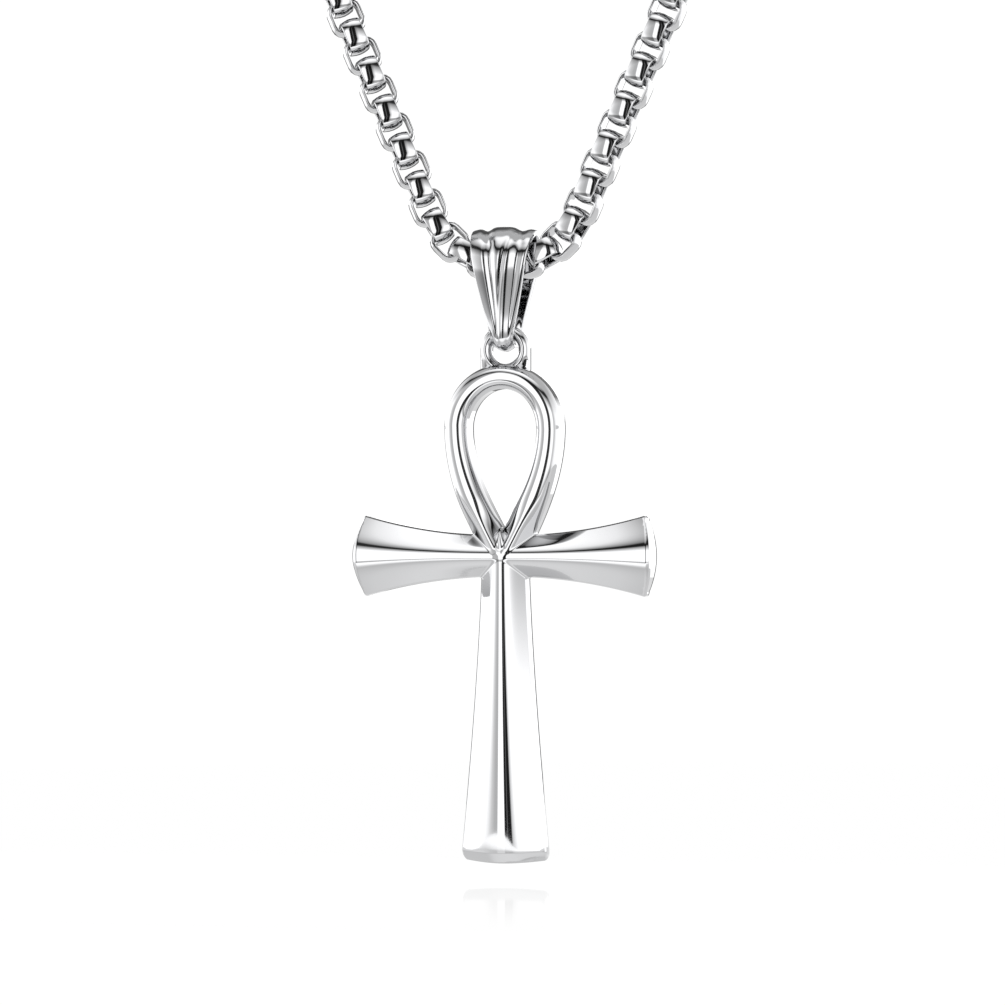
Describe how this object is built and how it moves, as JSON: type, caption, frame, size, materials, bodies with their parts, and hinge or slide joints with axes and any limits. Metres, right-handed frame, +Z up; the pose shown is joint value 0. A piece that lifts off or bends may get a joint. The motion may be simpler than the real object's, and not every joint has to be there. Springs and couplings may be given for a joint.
{
  "type": "ankh pendant necklace",
  "caption": "Looped cross pendant with a ridged cast front, hanging by a fluted tapered bail from a closed box chain that goes round the neck.",
  "frame": {"origin": "the nape of the neck: the point of the clasp's barrel that lies against the back of the neck", "axes": "+Z up as worn, the pendant's front faces -Y, +X to the right as seen from the front"},
  "size_m": [0.146, 0.1055, 0.2126],
  "materials": {
    "pendant_steel": "mirror-polished stainless steel casting",
    "bail_steel": "polished stainless steel, softly fluted",
    "chain_steel": "polished stainless steel links, darker inside",
    "clasp_steel": "polished stainless steel, plain"
  },
  "bodies": {
    "necklace": {"chain_front": "chain_steel", "chain_back": "chain_steel", "clasp": "clasp_steel"},
    "hanger": {"bail": "bail_steel"},
    "pendant": {"ankh": "pendant_steel"}
  },
  "joints": [
    {"name": "bail_swing", "type": "hinge", "parent": "necklace", "child": "hanger", "pos_m": [0, -0.09803, -0.16058], "axis": [1, 0, 0], "range_deg": [-60, 60]},
    {"name": "ankh_swing", "type": "hinge", "parent": "hanger", "child": "pendant", "pos_m": [0, -0.09803, -0.16788], "axis": [0, 1, 0], "range_deg": [-60, 60]}
  ]
}
